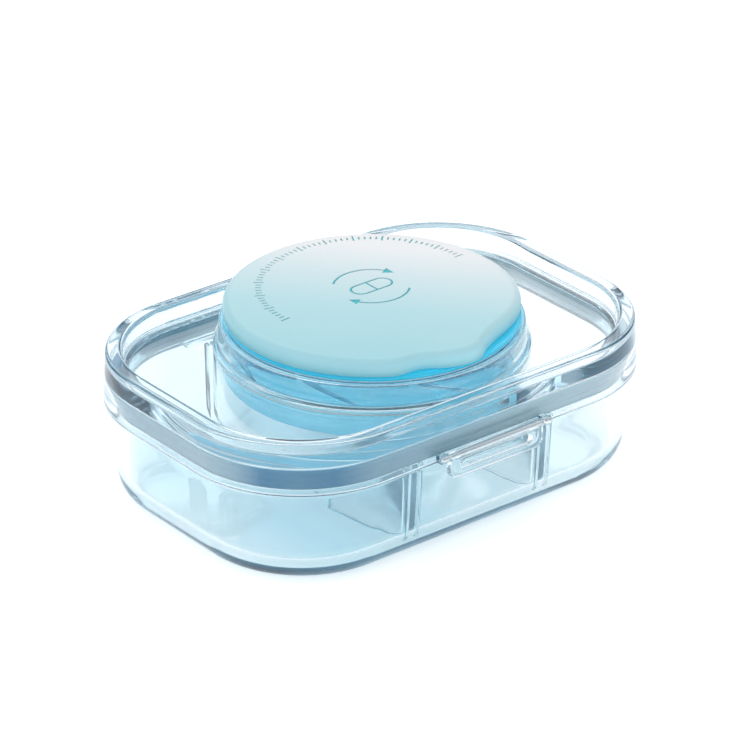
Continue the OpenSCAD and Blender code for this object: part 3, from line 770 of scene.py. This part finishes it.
head = revolve("crush_head", [(1.45, 24.19), (22.6, 24.19), (22.85, 24.1), (22.9, 23.9), (22.9, 22.78),
                              (23.45, 22.75), (23.58, 22.65), (23.6, 22.5), (23.55, 22.36),
                              (23.4, 22.3), (3.1, 22.3), (2.92, 22.4), (2.9, 22.6), (2.9, 23.4),
                              (1.45, 23.4)])
cut(head, [tooth_ring("teeth", 22.3, -1, 1.15)], "UNION", 40)
place(head, "knob", tooth_mat, "blue_teeth", "grinding_head")

screw = revolve("screw_body", [(0.3, 21.7), (2.3, 21.72), (2.7, 21.95), (2.8, 22.3), (2.8, 23.3),
                               (2.65, 23.38), (1.4, 23.4), (1.4, 28.0), (1.1, 28.3), (0.3, 28.3)],
                closed=False, n=64)
cross = []
for k in range(2):
    c = block("cross", (-1.6, -0.3, 21.0), (1.6, 0.3, 22.5), 0.05, 1)
    c.data.transform(Matrix.Rotation(math.radians(90 * k + 20), 4, "Z"))
    cross.append(c)
cut(screw, cross)
place(screw, "knob", steel_mat, "steel_pin", "head_screw")

ob = revolve("dust_lip", [(23.62, 29.28), (23.62, 29.1), (23.8, 29.0), (24.7, 28.99), (24.95, 29.05),
                          (25.0, 29.18), (24.95, 29.28)])
place(ob, "knob", seal_mat, "seal_silicone", "dust_seal")

# ---------------------------------------------------------------- studio
bm = bmesh.new()
bmesh.ops.create_grid(bm, x_segments=2, y_segments=2, size=3.0)
floor = to_object("floor", bm)
floor.location.z = -0.0001
m, nt, p, out = new_material("floor_white")
tone = noise(nt, 3, 2.0)
near = nt.nodes.new("ShaderNodeVectorMath")
near.operation = "LENGTH"
nt.links.new(next(n for n in nt.nodes if n.type == "TEX_COORD").outputs["Object"], near.inputs[0])
# painted pool of light: the floor's colour and glow are white within 0.3 m of the middle and fade to
# grey-blue by 0.9 m
white = ramp(nt, spread(nt, near.outputs["Value"], 0, 1, 0.30, 0.9),
             [(0.0, (1, 1, 1)), (1.0, (0.38, 0.44, 0.48))])
cast = ramp(nt, tone.outputs["Fac"], [(0.0, (0.93, 0.935, 0.94)), (1.0, (0.95, 0.955, 0.96))])
nt.links.new(blend(nt, 1.0, cast, white, "MULTIPLY"), p.inputs["Base Color"])
nt.links.new(white, p.inputs["Emission Color"])
p.inputs["Emission Strength"].default_value = 0.48
p.inputs["Roughness"].default_value = 0.9
p.inputs["Specular IOR Level"].default_value = 0.1
floor.data.materials.append(m)

sc = bpy.context.scene
world = bpy.data.worlds.new("studio")
sc.world = world
world.use_nodes = True
wn = world.node_tree
bg = next(n for n in wn.nodes if n.type == "BACKGROUND")
co = wn.nodes.new("ShaderNodeTexCoord")
sep = wn.nodes.new("ShaderNodeSeparateXYZ")
wn.links.new(co.outputs["Generated"], sep.inputs["Vector"])
sky = ramp(wn, spread(wn, sep.outputs["Z"], 0, 1, -0.1, 1.0),
           [(0.0, (0.36, 0.44, 0.50)), (0.44, (0.46, 0.54, 0.60)), (0.62, (0.95, 0.98, 1.0)),
            (1.0, (1.0, 1.0, 1.0))])
wn.links.new(sky, bg.inputs["Color"])
bg.inputs["Strength"].default_value = 0.92


def softbox(name, where, size, power, colour=(1, 1, 1), aim=(0, 0, 0.015)):
    data = bpy.data.lights.new(name, "AREA")
    data.shape, data.size, data.size_y = "RECTANGLE", size[0], size[1]
    data.energy, data.color = power, colour
    ob = bpy.data.objects.new(name, data)
    sc.collection.objects.link(ob)
    ob.location = where
    ob.rotation_euler = (Vector(aim) - Vector(where)).to_track_quat("-Z", "Y").to_euler()
    return ob


softbox("key_back", (0.25, 0.45, 0.45), (0.5, 0.35), 0.55)
softbox("fill_left", (-0.55, -0.05, 0.35), (0.35, 0.5), 0.35, (0.95, 0.98, 1.0))
softbox("top", (0.0, 0.0, 0.7), (0.6, 0.6), 0.45)

cam_data = bpy.data.cameras.new("camera")
cam = bpy.data.objects.new("camera", cam_data)
sc.collection.objects.link(cam)
az, el = math.radians(-38.73), math.radians(26.94)
ASIDE, RAISE, AWAY = 0.46, 15.87, 719.7       # from the origin along the camera's own axes, mm
back = Vector((math.sin(az) * math.cos(el), -math.cos(az) * math.cos(el), math.sin(el)))
right = Vector((math.cos(az), math.sin(az), 0))
up = back.cross(right)
cam.location = (right * ASIDE + up * RAISE + back * AWAY) * MM
cam.rotation_mode = "QUATERNION"
cam.rotation_quaternion = (-back).to_track_quat("-Z", "Y")
cam_data.sensor_width = 36.0
cam_data.lens = 200.7552
cam_data.clip_start, cam_data.clip_end = 0.01, 20.0
sc.camera = cam

sc.view_settings.view_transform = "Standard"
sc.cycles.max_bounces = 48
sc.cycles.transmission_bounces = 40
sc.cycles.transparent_max_bounces = 24
sc.cycles.glossy_bounces = 40
sc.cycles.diffuse_bounces = 8
sc.cycles.sample_clamp_indirect = 8.0
